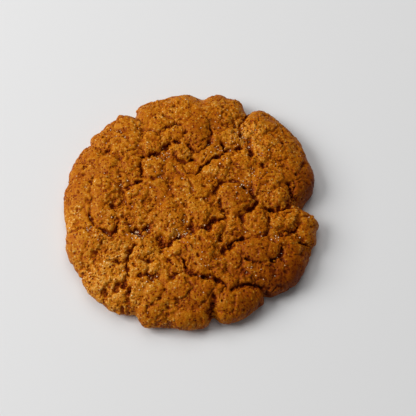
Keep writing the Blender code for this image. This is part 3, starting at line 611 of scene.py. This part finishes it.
# Upper grid and coarser underside share the rim: the underside has a quarter of the faces
# along each side, and its outer faces take in the rim points between their corners. Every
# upper face is halved along its shorter diagonal.
def biscuitFaces(count, points):
    side = count + 1
    index = np.arange(side * side).reshape(side, side)
    corners = [index[:-1, :-1], index[1:, :-1], index[1:, 1:], index[:-1, 1:]]
    quads = np.stack(corners, axis=-1).reshape(-1, 4)
    first = np.linalg.norm(points[quads[:, 2]] - points[quads[:, 0]], axis=1)
    second = np.linalg.norm(points[quads[:, 3]] - points[quads[:, 1]], axis=1)
    quads = np.where((second < first)[:, None], np.roll(quads, -1, axis=1), quads)
    faces = np.concatenate([quads[:, [0, 1, 2]], quads[:, [0, 2, 3]]]).tolist()
    few = count // 4
    under = np.empty((few + 1, few + 1), dtype=int)
    under[:] = index[::4, ::4]
    under[1:-1, 1:-1] = side * side + np.arange((few - 1) ** 2).reshape(few - 1, few - 1)
    inner = np.stack([under[:-1, :-1], under[:-1, 1:], under[1:, 1:], under[1:, :-1]], axis=-1)
    faces += inner[1:-1, 1:-1].reshape(-1, 4).tolist()
    for a in range(few):
        for b in range(few):
            if 0 < a < few - 1 and 0 < b < few - 1:
                continue
            west = index[0, 4 * b:4 * b + 5] if a == 0 else under[a, b:b + 2]
            north = index[4 * a:4 * a + 5, -1] if b == few - 1 else under[a:a + 2, b + 1]
            east = index[-1, 4 * b:4 * b + 5] if a == few - 1 else under[a + 1, b:b + 2]
            south = index[4 * a:4 * a + 5, 0] if b == 0 else under[a:a + 2, b]
            loop = [*west, *north[1:], *east[::-1][1:], *south[::-1][1:-1]]
            faces.append([int(vertex) for vertex in loop])
    return faces


# Inner points of the underside: the same pressed square, shrunk to the foot's edge, with
# shallow dimples of cell noise that fade towards the edge.
def undersidePoints(rim):
    few = biscuit["gridCells"] // 4
    x, y = squareToDisc(few)
    x, y = (line.reshape(few + 1, few + 1)[1:-1, 1:-1].ravel() for line in (x, y))
    bearing = np.arctan2(y, x)
    rimBearing = np.arctan2(rim[:, 1], rim[:, 0])
    order = np.argsort(rimBearing)
    rimReach = np.hypot(rim[:, 0], rim[:, 1])
    reach = np.interp(bearing, rimBearing[order], rimReach[order], period=2.0 * np.pi)
    radius = np.hypot(x, y)
    across = [turn * reach * radius for turn in (np.cos(bearing), np.sin(bearing))]
    points = np.column_stack([*across, 0.0 * x])
    spacing, depth = biscuit["dimples"]
    nearest, _, value = cells(points, spacing * mm, 71)
    dimple = ease(value, 0.2, 0.8) * (1.0 - ease(nearest, 0.1, 0.4))
    points[:, 2] = depth * mm * (dimple * (1.0 - ease(radius, 0.85, 0.95)))
    return points


# A mesh object in place, with float attributes on its points.
def addMesh(name, points, faces, values, smooth):
    mesh = bpy.data.meshes.new(name)
    mesh.from_pydata(points, [], faces)
    for key, value in values.items():
        made = mesh.attributes.new(key, "FLOAT", "POINT")
        made.data.foreach_set("value", value.astype(np.float32))
    mesh.polygons.foreach_set("use_smooth", np.full(len(mesh.polygons), smooth))
    mesh.update()
    piece = bpy.data.objects.new(name, mesh)
    bpy.context.scene.collection.objects.link(piece)
    return piece


# Skin and underside as one mesh, moved so that its middle stands where the solid's does.
def makeBiscuit():
    points, values = skinPoints()
    side = biscuit["gridCells"] + 1
    index = np.arange(side * side).reshape(side, side)
    rim = np.concatenate([index[0], index[-1], index[1:-1, 0], index[1:-1, -1]])
    under = undersidePoints(points[rim])
    points = np.concatenate([points, under])
    middle = 0.5 * (points.min(axis=0) + points.max(axis=0))
    low, high = np.array(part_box("cookie"))
    shift = 0.5 * (low + high) - middle
    shift[2] = 0.0
    points += shift
    for key in values:
        values[key] = np.concatenate([values[key], np.zeros(len(under))])
    values["underside"] = np.concatenate([np.zeros(side * side), np.ones(len(under))])
    values["underside"][rim] = 1.0
    faces = biscuitFaces(biscuit["gridCells"], points)
    piece = addMesh("crackedCrust", points, faces, values, True)
    return piece, points[:side * side], values


crust, skin, skinValues = makeBiscuit()
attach(crust, "root")
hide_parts("cookie")
print("biscuit formed:", len(crust.data.polygons), "faces")


# Sets a node's inputs by name or number, and wires those that are given a socket.
def feed(tree, made, inputs):
    for key, value in inputs.items():
        if isinstance(value, bpy.types.NodeSocket):
            tree.links.new(value, made.inputs[key])
        else:
            made.inputs[key].default_value = value


# A new node with its settings and inputs.
def node(tree, kind, inputs=None, **settings):
    made = tree.nodes.new(kind)
    for key, value in settings.items():
        setattr(made, key, value)
    feed(tree, made, inputs or {})
    return made


# One sum: a and b joined by the operation.
def mathNode(tree, operation, a, b, **settings):
    made = node(tree, "ShaderNodeMath", {0: a, 1: b}, operation=operation, **settings)
    return made.outputs[0]


# One vector sum.
def vectorNode(tree, operation, inputs):
    return node(tree, "ShaderNodeVectorMath", inputs, operation=operation).outputs[0]


# A value stretched so that low becomes 0 and high becomes 1, along a smooth curve.
def stretch(tree, value, low, high):
    made = node(tree, "ShaderNodeMapRange", {"Value": value, "From Min": low, "From Max": high},
                interpolation_type="SMOOTHSTEP")
    return made.outputs["Result"]


# Fractal noise from 0 to 1, with the size of its largest features in millimetres.
def noiseNode(tree, vector, size, detail, rough=0.5):
    made = node(tree, "ShaderNodeTexNoise", {"Vector": vector, "Scale": 1.0 / (size * mm),
                                             "Detail": detail, "Roughness": rough})
    return made.outputs["Fac"]


# One of the values that the mesh carries on its points.
def attribute(tree, name):
    return node(tree, "ShaderNodeAttribute", attribute_name=name).outputs["Fac"]


# Adds strength * (effect - middle) to a running value.
def shift(tree, value, effect, strength, middle=0.0):
    offset = mathNode(tree, "SUBTRACT", effect, middle) if middle else effect
    return mathNode(tree, "ADD", value, mathNode(tree, "MULTIPLY", offset, strength))


# Colour scale from a list of places and colours.
def colourScale(tree, value, stops):
    made = node(tree, "ShaderNodeValToRGB", {"Fac": value})
    elements = made.color_ramp.elements
    while len(elements) < len(stops):
        elements.new(0.5)
    for element, (place, colour) in zip(elements, stops):
        element.position = place
        element.color = colour
    return made.outputs["Color"]


# Bump that stands height * distance over the mesh, as a normal.
def bumpNode(tree, height, distance):
    inputs = {"Height": height, "Strength": 1.0, "Distance": distance * mm}
    return node(tree, "ShaderNodeBump", inputs).outputs["Normal"]


# A new node group with its named inputs and outputs.
def newGroup(name, inputs, outputs):
    group = bpy.data.node_groups.new(name, "ShaderNodeTree")
    group.interface.new_socket("Vector", in_out="INPUT", socket_type="NodeSocketVector")
    for direction, names in (("INPUT", inputs), ("OUTPUT", outputs)):
        for key in names:
            group.interface.new_socket(key, in_out=direction, socket_type="NodeSocketFloat")
    return group, group.nodes.new("NodeGroupInput").outputs


# A new material with its tree and its surface.
def newMaterial(name):
    made = bpy.data.materials.new(name)
    made.use_nodes = True
    return made, made.node_tree, made.node_tree.nodes["Principled BSDF"]


# Uses of the flecks give the spacing in mm and the share of the spots that have one.
fleckLook = {
    "dark": {"Size": 0.92, "Share": 0.55},
    "pale": {"Size": 0.95, "Share": 0.5},
    "onCrumbs": {"Size": 0.6, "Share": 0.4},
    "paleAside": (0.31, 0.17, 0.23),   # moves the pale flecks off the dark ones
    "edge": (0.44, 0.22),     # where a fleck ends and where it is full, as shares of the spacing
    "wander": (1600.0, 0.5),  # scale and reach of the noise that bends their outlines
    "faintest": 0.4,
}


# Cinnamon flecks: a dot at some of the centres of a cell pattern, its edge blurred.
def makeFleckGroup():
    group, inputs = newGroup("cinnamonFlecks", ("Size", "Share"), ("Mask",))
    place = inputs["Vector"]
    scale, reach = fleckLook["wander"]
    wander = node(group, "ShaderNodeTexNoise", {"Vector": place, "Scale": scale, "Detail": 1.0})
    bend = vectorNode(group, "SCALE", {0: wander.outputs["Color"], "Scale": reach * mm})
    dots = node(group, "ShaderNodeTexVoronoi", {
        "Vector": vectorNode(group, "ADD", {0: place, 1: bend}),
        "Scale": mathNode(group, "DIVIDE", 1.0 / mm, inputs["Size"])})
    near = stretch(group, dots.outputs["Distance"], *fleckLook["edge"])
    chance = node(group, "ShaderNodeSeparateColor", {0: dots.outputs["Color"]}).outputs
    kept = mathNode(group, "LESS_THAN", chance[0], inputs["Share"])
    strong = mathNode(group, "MULTIPLY_ADD", chance[1], 1.0 - fleckLook["faintest"])
    strong.node.inputs[2].default_value = fleckLook["faintest"]
    mask = mathNode(group, "MULTIPLY", mathNode(group, "MULTIPLY", near, kept), strong)
    node(group, "NodeGroupOutput", {"Mask": mask})
    return group


# size in mm, detail and roughness of each noise, and the weight of the two in the height
grainLook = {
    "coarse": (1.1, 3.0, 0.6),
    "fine": (0.42, 2.0, 0.6),
    "weights": (0.6, 0.4),
    "mottle": (3.6, 4.0, 0.62),
}


# Crumb grain: two sizes of noise added into one height, and a broad mottle for the colour.
def makeGrainGroup():
    group, inputs = newGroup("crumbGrain", (), ("Height", "Mottle"))
    vector = inputs["Vector"]
    heights = [mathNode(group, "MULTIPLY", noiseNode(group, vector, *grainLook[name]), weight)
               for name, weight in zip(("coarse", "fine"), grainLook["weights"])]
    node(group, "NodeGroupOutput", {"Height": mathNode(group, "ADD", *heights),
                                    "Mottle": noiseNode(group, vector, *grainLook["mottle"])})
    return group


fleckGroup = makeFleckGroup()
grainGroup = makeGrainGroup()

crustLook = {
    # bake from the darkest to the palest crumb: place on the scale and colour
    "bake": (
        (0.00, (0.145, 0.0160, 0.0014, 1.0)),
        (0.20, (0.220, 0.0300, 0.0018, 1.0)),
        (0.45, (0.375, 0.0900, 0.0013, 1.0)),
        (0.57, (0.455, 0.1490, 0.0036, 1.0)),
        (0.66, (0.524, 0.2150, 0.0150, 1.0)),
        (0.85, (0.675, 0.4130, 0.1500, 1.0)),
        (1.00, (0.890, 0.6800, 0.4100, 1.0)),
    ),
    "usual": 0.482,           # where most of the crust lies on that scale
    "mottle": 0.40,           # how far each effect moves it
    # The grain pales the crumb where its bump stands high and darkens it where it is low: random
    # crumb tone with painted shade in its dips.
    "grain": 0.28,
    "speckle": 0.70,
    "pale": 0.24,
    # Painted shade: hollows and valleys move the crumb darker and redder on the scale.
    "hollow": 0.20,
    "valley": 0.04,
    "golden": 0.12,
    "toasted": 0.14,
    # Painted light and shade: golden zones lift the colour, and toasted zones, hollows and valleys
    # dim it.
    "goldenPaintedLight": 0.15,      # and how much lighter or darker that makes the colour
    "toastedPaintedShade": 0.24,
    "hollowPaintedShade": 0.26,
    "valleyPaintedShade": 0.16,
    "fleck": 0.49,
    # Painted shade: pores darken the crumb in their holes, and splits darken it by their depth.
    "pore": 0.50,
    "split": 0.28,
    "underside": 0.12,
    "hollowRange": (-1.0, 1.6),   # the mesh's values that count as none and as full
    "valleyRange": (0.0, 1.4),
    "splitRange": (0.15, 0.9),
    # Above this the hollow value darkens the crumb as painted shade; below it the raised tops are
    # paled as painted light.
    "hollowMiddle": 0.35,
    "speckleSize": 0.32,
    "calmSpeckle": 0.35,      # how much of the speckle and the pores a calm crust loses
    "calmPores": 0.5,
    "poreSpacing": 1.3,
    "porePatch": (5.0, 2.0),      # size and detail of the patches that have pores
    "patchRange": (0.42, 0.66),
    "poreRadius": 0.28,           # share of the spacing
    "poreRange": (-0.06, 0.08),
    "roughness": (0.34, 0.52),
    "specular": 0.058,
    "bump": 0.25,
    "bumpShares": {"speckle": 0.3, "pale": 0.22, "fleck": -0.2, "pore": -0.8},
}


# Small round pores, gathered in patches and fewer where the crust is calm.
def poreMask(tree, place, calm):
    look = crustLook
    dots = node(tree, "ShaderNodeTexVoronoi", {"Vector": place,
                                               "Scale": 1.0 / (look["poreSpacing"] * mm)})
    patch = stretch(tree, noiseNode(tree, place, *look["porePatch"]), *look["patchRange"])
    fewer = mathNode(tree, "MULTIPLY", calm, look["calmPores"])
    patch = mathNode(tree, "SUBTRACT", patch, fewer, use_clamp=True)
    reach = mathNode(tree, "MULTIPLY", patch, look["poreRadius"])
    inside = mathNode(tree, "SUBTRACT", reach, dots.outputs["Distance"])
    return stretch(tree, inside, *look["poreRange"])


# Everything that darkens or pales the crumb moves it along one colour scale, and some of it also
# dims or lifts the colour. Hollows, valleys, splits and pores darken it as painted shade, and the
# tops of the relief are paled as painted light; golden and toasted zones also lift and dim it as
# painted light and shade. Gloss follows the mottle, and the bump the finest of it.
def makeCrustMaterial():
    look = crustLook
    made, tree, surface = newMaterial("spicedCrust")
    place = node(tree, "ShaderNodeTexCoord").outputs["Object"]
    grain = node(tree, "ShaderNodeGroup", {"Vector": place}, node_tree=grainGroup).outputs
    fleck = node(tree, "ShaderNodeGroup", {"Vector": place, **fleckLook["dark"]},
                 node_tree=fleckGroup).outputs["Mask"]
    aside = vectorNode(tree, "ADD", {0: place, 1: fleckLook["paleAside"]})
    pale = node(tree, "ShaderNodeGroup", {"Vector": aside, **fleckLook["pale"]},
                node_tree=fleckGroup).outputs["Mask"]
    calm = attribute(tree, "calm")
    pore = poreMask(tree, place, calm)
    golden, toasted = attribute(tree, "golden"), attribute(tree, "toasted")
    hollow = stretch(tree, attribute(tree, "hollow"), *look["hollowRange"])
    valley = stretch(tree, attribute(tree, "valley"), *look["valleyRange"])
    split = stretch(tree, attribute(tree, "split"), *look["splitRange"])
    speckle = noiseNode(tree, place, look["speckleSize"], 1.0)
    quiet = mathNode(tree, "SUBTRACT", 1.0, mathNode(tree, "MULTIPLY", calm, look["calmSpeckle"]))
    # The grain's high points pale the crumb and its low points darken it, following its bump:
    # random tone with painted shade in the dips.
    speck = shift(tree, 0.0, grain["Height"], look["grain"], 0.5)
    speck = shift(tree, speck, speckle, look["speckle"], 0.5)
    bake = shift(tree, look["usual"], grain["Mottle"], look["mottle"], 0.5)
    bake = mathNode(tree, "ADD", bake, mathNode(tree, "MULTIPLY", quiet, speck))
    bake = shift(tree, bake, pale, look["pale"])
    # Painted shade in the hollows, and painted light on the raised tops.
    bake = shift(tree, bake, hollow, -look["hollow"], look["hollowMiddle"])
    # Valleys, pores and splits darken the crumb here as painted shade; flecks, golden and toasted
    # zones and the underside move its own colour.
    for effect, strength in ((valley, -look["valley"]), (golden, look["golden"]),
                             (toasted, -look["toasted"]), (fleck, -look["fleck"]),
                             (pore, -look["pore"]), (split, -look["split"]),
                             (attribute(tree, "underside"), -look["underside"])):
        bake = shift(tree, bake, effect, strength)
    # Painted light and shade: golden zones lift the colour, and toasted zones, hollows and valleys
    # dim it.
    paintedLightAndShade = shift(tree, 1.0, golden, look["goldenPaintedLight"])
    paintedLightAndShade = shift(tree, paintedLightAndShade, toasted, -look["toastedPaintedShade"])
    paintedLightAndShade = shift(tree, paintedLightAndShade, hollow, -look["hollowPaintedShade"], look["hollowMiddle"])
    paintedLightAndShade = shift(tree, paintedLightAndShade, valley, -look["valleyPaintedShade"])
    low, high = look["roughness"]
    rough = node(tree, "ShaderNodeMapRange",
                 {"Value": grain["Mottle"], "To Min": low, "To Max": high})
    height = grain["Height"]
    for name, effect in (("speckle", speckle), ("pale", pale), ("fleck", fleck), ("pore", pore)):
        height = shift(tree, height, effect, look["bumpShares"][name])
    feed(tree, surface, {
        "Base Color": vectorNode(tree, "SCALE", {0: colourScale(tree, bake, look["bake"]),
                                                 "Scale": paintedLightAndShade}),
        "Roughness": rough.outputs["Result"],
        "Specular IOR Level": look["specular"],
        "Normal": bumpNode(tree, height, look["bump"])})
    return made


crust.data.materials.append(makeCrustMaterial())
print("crust coloured")


# Grid normals, as the cross product of the steps to the neighbours along both grid axes.
def skinNormals():
    side = biscuit["gridCells"] + 1
    grid = skin.reshape(side, side, 3)
    along = np.gradient(grid, axis=0)
    across = np.gradient(grid, axis=1)
    facing = np.cross(along, across).reshape(-1, 3)
    return facing / np.maximum(np.linalg.norm(facing, axis=1, keepdims=True), 1e-12)


skinFacing = skinNormals()


# Closed pebble: sines and cosines of two angles raised to a power, which squares its sides.
def pebble(rings, segments, power):
    up = np.linspace(-0.5 * np.pi, 0.5 * np.pi, rings + 2)[1:-1]
    around = np.arange(segments) * 2.0 * np.pi / segments
    up, around = np.meshgrid(up, around, indexing="ij")
    bend = lambda value: np.sign(value) * np.abs(value) ** power
    east, north = (bend(np.cos(up)) * bend(turn) for turn in (np.cos(around), np.sin(around)))
    points = np.stack([east, north, bend(np.sin(up))], axis=-1).reshape(-1, 3)
    points = np.concatenate([points, [(0.0, 0.0, -1.0), (0.0, 0.0, 1.0)]])
    index = np.arange(rings * segments).reshape(rings, segments)
    after = np.roll(index, -1, axis=1)
    sides = np.stack([index[:-1], after[:-1], after[1:], index[1:]], axis=-1)
    faces = sides.reshape(-1, 4).tolist()
    low, high = rings * segments, rings * segments + 1
    faces += [(low, int(b), int(a)) for a, b in zip(index[0], after[0])]
    faces += [(high, int(a), int(b)) for a, b in zip(index[-1], after[-1])]
    return points, faces


# Random turns, as matrices from random unit quaternions.
def randomTurns(count, random):
    q = random.normal(size=(count, 4))
    w, x, y, z = (q / np.linalg.norm(q, axis=1, keepdims=True)).T
    rows = [[1 - 2 * (y * y + z * z), 2 * (x * y - w * z), 2 * (x * z + w * y)],
            [2 * (x * y + w * z), 1 - 2 * (x * x + z * z), 2 * (y * z - w * x)],
            [2 * (x * z - w * y), 2 * (y * z + w * x), 1 - 2 * (x * x + y * y)]]
    return np.moveaxis(np.array(rows), -1, 0)


# Copies of one pebble, each stretched, dented, turned and sunk a little into the crust where it
# lies. With values carried, each point also gets the crust's own values there, and a hollow
# value that falls from its foot to its top, which paints shade at its foot and light on its top.
def scatter(name, spots, look, sizes, random, carried=(), dent=0.12):
    points, faces = pebble(*look["pebble"])
    count = len(spots)
    half = 0.5 * sizes[:, None] * mm
    local = points[None] * random.uniform(*look["stretch"], size=(count, 1, 3))
    local = local + random.uniform(-dent, dent, size=local.shape)
    local = np.einsum("nij,nkj->nki", randomTurns(count, random), local) * half[:, None]
    centres = skin[spots] + skinFacing[spots] * ((0.5 - look["sink"]) * sizes[:, None] * mm)
    values = {"tone": np.repeat(random.uniform(0.0, 1.0, count), len(points))}
    for key in carried:
        values[key] = np.repeat(skinValues[key][spots], len(points))
    if carried:
        height = np.einsum("nij,nj->ni", local, skinFacing[spots]) / half
        tone = values["tone"].reshape(height.shape)
        # Painted shade at each nub's foot and painted light on its top, with a random tone.
        values["hollow"] = (0.4 - 0.9 * height + 0.5 * tone - 0.25).ravel()
    allFaces = [[vertex + n * len(points) for vertex in face]
                for n in range(count) for face in faces]
    placed = (local + centres[:, None]).reshape(-1, 3)
    return addMesh(name, placed, allFaces, values, bool(carried))


# Picks grid points of the upper crust with the given weights.
def pickSpots(count, weight, random, steepest=0.7, lowest=6.0):
    weight = weight * (skinFacing[:, 2] > steepest) * (skin[:, 2] > lowest * mm)
    return random.choice(len(skin), size=count, replace=False, p=weight / weight.sum())


# Sizes between two limits, most of them near the lower one.
def unevenSizes(look, random):
    low, high = look["sizes"]
    return low + (high - low) * random.uniform(size=look["count"]) ** look["skew"]


# One of the crust's values at the grid points.
def onSkin(key):
    return skinValues[key][:len(skin)]


sugar = {
    "everywhere": 60,
    "sizes": (0.22, 0.42),
    "pebble": (3, 6, 0.45),   # rings, segments and how round
    "stretch": (0.7, 1.1),
    "sink": 0.12,
    "seed": 5,
    # where grains gathered: x, y, spread, how many
    "gatherings": {
        "cleftValley": (17.5, 23.5, 3.2, 28),
        "shelf": (11, 18.5, 2.5, 18),
        "hook": (-11, 16, 3, 14),
        "westBasin": (-30, -9.5, 3.5, 20),
        "bowl": (-17, -12.5, 2.5, 34),
        "trough": (-3, -12, 4, 30),
        "coreTop": (16.5, 4, 2.5, 22),
        "coreEast": (22, 8, 3, 8),
        "northEast": (24, 17, 2, 6),
        "northWest": (-25.5, 24, 3, 6),
        "north": (8, 30, 3, 6),
        "south": (5, -24, 3, 8),
        "southEast": (21, -26, 3, 10),
        "southWest": (-12.5, -29, 3, 12),
        "eastBasin": (26, -12, 3, 8),
        "middle": (-9, 7, 8, 28),
    },
}


# Grains rest in hollows, a few everywhere and most of them in bell-shaped gatherings.
def makeSugar():
    random = np.random.RandomState(sugar["seed"])
    resting = 0.15 + np.clip(onSkin("hollow"), 0.0, 1.0)
    picks = [pickSpots(sugar["everywhere"], resting, random)]
    for x, y, spread, count in sugar["gatherings"].values():
        away = np.hypot(skin[:, 0] - x * mm, skin[:, 1] - y * mm) / (spread * mm)
        picks.append(pickSpots(count, resting * np.exp(-away ** 2), random))
    spots = np.concatenate(picks)
    sizes = random.uniform(*sugar["sizes"], size=len(spots))
    return scatter("sugarGrains", spots, sugar, sizes, random)


crumbs = {
    "count": 220,
    "sizes": (0.45, 1.05),
    "skew": 2.0,              # higher makes more of them small
    "pebble": (4, 7, 0.9),
    "stretch": (0.65, 1.15),
    "sink": 0.42,             # share of each crumb that lies in the crust
    "seed": 9,
    "anywhere": 0.05,         # chance anywhere, and on rough crust
    "onRough": 0.3,
}


# Loose crumbs lie in the splits and on rough crust.
def makeCrumbs():
    random = np.random.RandomState(crumbs["seed"])
    rough = np.clip(-onSkin("calm"), 0.0, 1.0)
    weight = crumbs["anywhere"] + onSkin("split") + crumbs["onRough"] * rough
    spots = pickSpots(crumbs["count"], weight, random)
    return scatter("looseCrumbs", spots, crumbs, unevenSizes(crumbs, random), random)


nubs = {
    "count": 1100,
    "sizes": (0.6, 1.5),
    "skew": 1.6,
    "pebble": (3, 6, 0.85),
    "stretch": (0.7, 1.15),
    "sink": 0.70,             # share of each nub that lies in the crust
    "seed": 21,
    "onCrumb": 0.9,           # chance where crumb shows, and in the valleys
    "inValleys": 1.2,
    "calmest": 0.35,          # calmest crust that has any
    "steepest": 0.25,         # least upward part of the facing, and least height
    "lowest": 3.5,
}


# Nubs of crumb stand on rough crust and in valleys, and take on the crust's colour.
def makeNubs():
    random = np.random.RandomState(nubs["seed"])
    opened = np.clip(nubs["calmest"] - onSkin("calm"), 0.0, 1.0)
    valley = np.clip(onSkin("valley"), 0.0, 1.0)
    weight = nubs["onCrumb"] * opened + nubs["inValleys"] * valley
    spots = pickSpots(nubs["count"], weight, random, nubs["steepest"], nubs["lowest"])
    sizes = unevenSizes(nubs, random)
    carried = ("split", "valley", "golden", "toasted", "calm")
    return scatter("crustNubs", spots, nubs, sizes, random, carried)


sugarLook = {
    "palest": (0.96, 0.80, 0.56, 1.0),
    "darkest": (0.66, 0.36, 0.13, 1.0),
    "roughness": 0.25,
    "specular": 0.5,
}


# Each grain's tone lies between the palest and the darkest sugar.
def makeSugarMaterial():
    made, tree, surface = newMaterial("caneSugar")
    colour = node(tree, "ShaderNodeMix", data_type="RGBA")
    feed(tree, colour, {0: attribute(tree, "tone"), 6: sugarLook["palest"],
                        7: sugarLook["darkest"]})
    feed(tree, surface, {"Base Color": colour.outputs[2], "Roughness": sugarLook["roughness"],
                         "Specular IOR Level": sugarLook["specular"]})
    return made


crumbLook = {
    "usual": 0.36,            # place on the crust's bake scale, and how far the tone moves it
    "tone": 0.22,
    "roughness": 0.8,
    "specular": 0.04,
    "bump": 0.25,
}


# Crumbs take a place on the crust's own bake scale, with flecks and grain of their own.
def makeCrumbMaterial():
    look = crumbLook
    made, tree, surface = newMaterial("bakedCrumb")
    place = node(tree, "ShaderNodeTexCoord").outputs["Object"]
    grain = node(tree, "ShaderNodeGroup", {"Vector": place}, node_tree=grainGroup).outputs
    fleck = node(tree, "ShaderNodeGroup", {"Vector": place, **fleckLook["onCrumbs"]},
                 node_tree=fleckGroup).outputs["Mask"]
    bake = shift(tree, look["usual"], attribute(tree, "tone"), look["tone"])
    bake = shift(tree, bake, fleck, -crustLook["fleck"])
    feed(tree, surface, {
        "Base Color": colourScale(tree, bake, crustLook["bake"]),
        "Roughness": look["roughness"],
        "Specular IOR Level": look["specular"],
        "Normal": bumpNode(tree, grain["Height"], look["bump"])})
    return made


sugarPiece = makeSugar()
sugarPiece.data.materials.append(makeSugarMaterial())
crumbPiece = makeCrumbs()
crumbPiece.data.materials.append(makeCrumbMaterial())
nubPiece = makeNubs()
nubPiece.data.materials.append(crust.data.materials[0])
for piece in (sugarPiece, crumbPiece, nubPiece):
    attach(piece, "root")
print("sugar and crumbs scattered:", len(sugarPiece.data.polygons),
      len(crumbPiece.data.polygons), "faces")


stageLook = {
    "size": 1400.0,
    "colour": (0.753, 0.753, 0.753, 1.0),
    "roughness": 0.5,
    "specular": 0.2,
}


# One flat square in z = 0, which is no part of the object.
def makeTable():
    half = 0.5 * stageLook["size"] * mm
    corners = [(-half, -half, 0.0), (half, -half, 0.0), (half, half, 0.0), (-half, half, 0.0)]
    table = addMesh("paleTable", corners, [(0, 1, 2, 3)], {}, False)
    made, tree, surface = newMaterial("paleTop")
    feed(tree, surface, {"Base Color": stageLook["colour"], "Roughness": stageLook["roughness"],
                         "Specular IOR Level": stageLook["specular"]})
    table.data.materials.append(made)


# bearing anticlockwise from +X, elevation, distance, size and watts of each lamp
lightLook = {
    "window": (174.0, 38.5, 1200.0, 760.0, 14.2),
    "ceiling": (95.0, 60.0, 1000.0, 800.0, 3.8),
    "fill": 0.14,
}


# A square lamp on a sphere around the biscuit, facing its middle.
def addLamp(name, bearing, elevation, distance, size, watts, gloss=True):
    turn, rise = math.radians(bearing), math.radians(elevation)
    level = math.cos(rise)
    toLamp = Vector((math.cos(turn) * level, math.sin(turn) * level, math.sin(rise)))
    lamp = bpy.data.lights.new(name, "AREA")
    lamp.shape = "SQUARE"
    lamp.size = size * mm
    lamp.energy = watts
    holder = bpy.data.objects.new(name, lamp)
    holder.location = toLamp * distance * mm
    holder.visible_glossy = gloss
    holder.rotation_euler = toLamp.to_track_quat("Z", "Y").to_euler()
    bpy.context.scene.collection.objects.link(holder)


# A window that gives the shadow and the gloss, a softer ceiling without gloss, and an even fill.
def makeLight():
    addLamp("windowLight", *lightLook["window"])
    addLamp("ceilingLight", *lightLook["ceiling"], gloss=False)
    world = bpy.data.worlds.new("softRoom")
    world.use_nodes = True
    feed(world.node_tree, world.node_tree.nodes["Background"],
         {"Color": (1.0, 1.0, 1.0, 1.0), "Strength": lightLook["fill"]})
    bpy.context.scene.world = world
    bpy.context.scene.view_settings.view_transform = "Standard"


cameraLook = {
    "target": (5.82, -0.85, 5.0),
    "elevation": 65.0,
    "distance": 400.0,
    "sensor": 36.0,
    "viewWidth": 138.67,      # width that the view takes in at the target
    "nearest": 10.0,
}


# A camera south of the target and raised by the elevation, which looks back at it.
def makeCamera():
    look = cameraLook
    rise = math.radians(look["elevation"])
    back = Vector((0.0, -math.cos(rise), math.sin(rise)))
    lens = bpy.data.cameras.new("tableCamera")
    lens.sensor_width = look["sensor"]
    lens.lens = look["sensor"] * look["distance"] / look["viewWidth"]
    lens.clip_start = look["nearest"] * mm
    holder = bpy.data.objects.new("tableCamera", lens)
    holder.location = (Vector(look["target"]) + back * look["distance"]) * mm
    holder.rotation_euler = back.to_track_quat("Z", "Y").to_euler()
    bpy.context.scene.collection.objects.link(holder)
    bpy.context.scene.camera = holder


makeTable()
makeLight()
makeCamera()
print("table, light and camera set")
